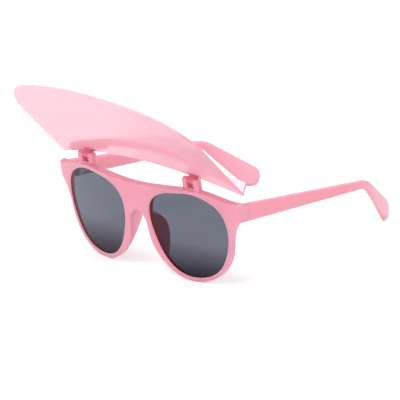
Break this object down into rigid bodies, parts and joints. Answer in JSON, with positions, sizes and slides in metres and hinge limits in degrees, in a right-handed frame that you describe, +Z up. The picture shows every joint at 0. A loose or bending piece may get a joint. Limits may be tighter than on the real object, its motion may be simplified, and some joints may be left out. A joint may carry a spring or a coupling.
{
  "type": "flip up sunglasses",
  "caption": "Wrapped plastic sunglasses with round tinted lenses, folding temples and a stiff brim on brow hinges that flips up or down.",
  "frame": {"origin": "on the surface that the rims and temple tips stand on, under the middle of the part at rest", "axes": "+Z up, the front faces -Y, the wearer's left is +X; rest is the pictured pose with the brim raised 47 degrees and the temples open"},
  "size_m": [0.1406, 0.2008, 0.1184],
  "materials": {
    "frame_pink": "satin moulded",
    "visor_pink": "smooth, slightly translucent",
    "smoke_lens": "tinted polycarbonate",
    "hinge_steel": "bright"
  },
  "bodies": {
    "front": {"frame_front": "frame_pink", "left_lens": "smoke_lens", "left_nose_pad": "frame_pink", "left_visor_pin": "hinge_steel", "left_front_hinge": "hinge_steel", "left_hinge_screw": "hinge_steel", "right_lens": "smoke_lens", "right_nose_pad": "frame_pink", "right_visor_pin": "hinge_steel", "right_front_hinge": "hinge_steel", "right_hinge_screw": "hinge_steel"},
    "visor": {"visor": "visor_pink"},
    "left_temple": {"left_temple": "frame_pink", "left_temple_hinge": "hinge_steel"},
    "right_temple": {"right_temple": "frame_pink", "right_temple_hinge": "hinge_steel"}
  },
  "joints": [
    {"name": "visor_flip", "type": "hinge", "parent": "front", "child": "visor", "pos_m": [0, -0.05361, 0.06211], "axis": [-1, 0, 0], "range_deg": [-48, 36]},
    {"name": "left_temple_fold", "type": "hinge", "parent": "front", "child": "left_temple", "pos_m": [0.0641, -0.03837, 0.04473], "axis": [0, 0, 1], "range_deg": [0, 82]},
    {"name": "right_temple_fold", "type": "hinge", "parent": "front", "child": "right_temple", "pos_m": [-0.0641, -0.03837, 0.04473], "axis": [0, 0, -1], "range_deg": [0, 64]}
  ]
}
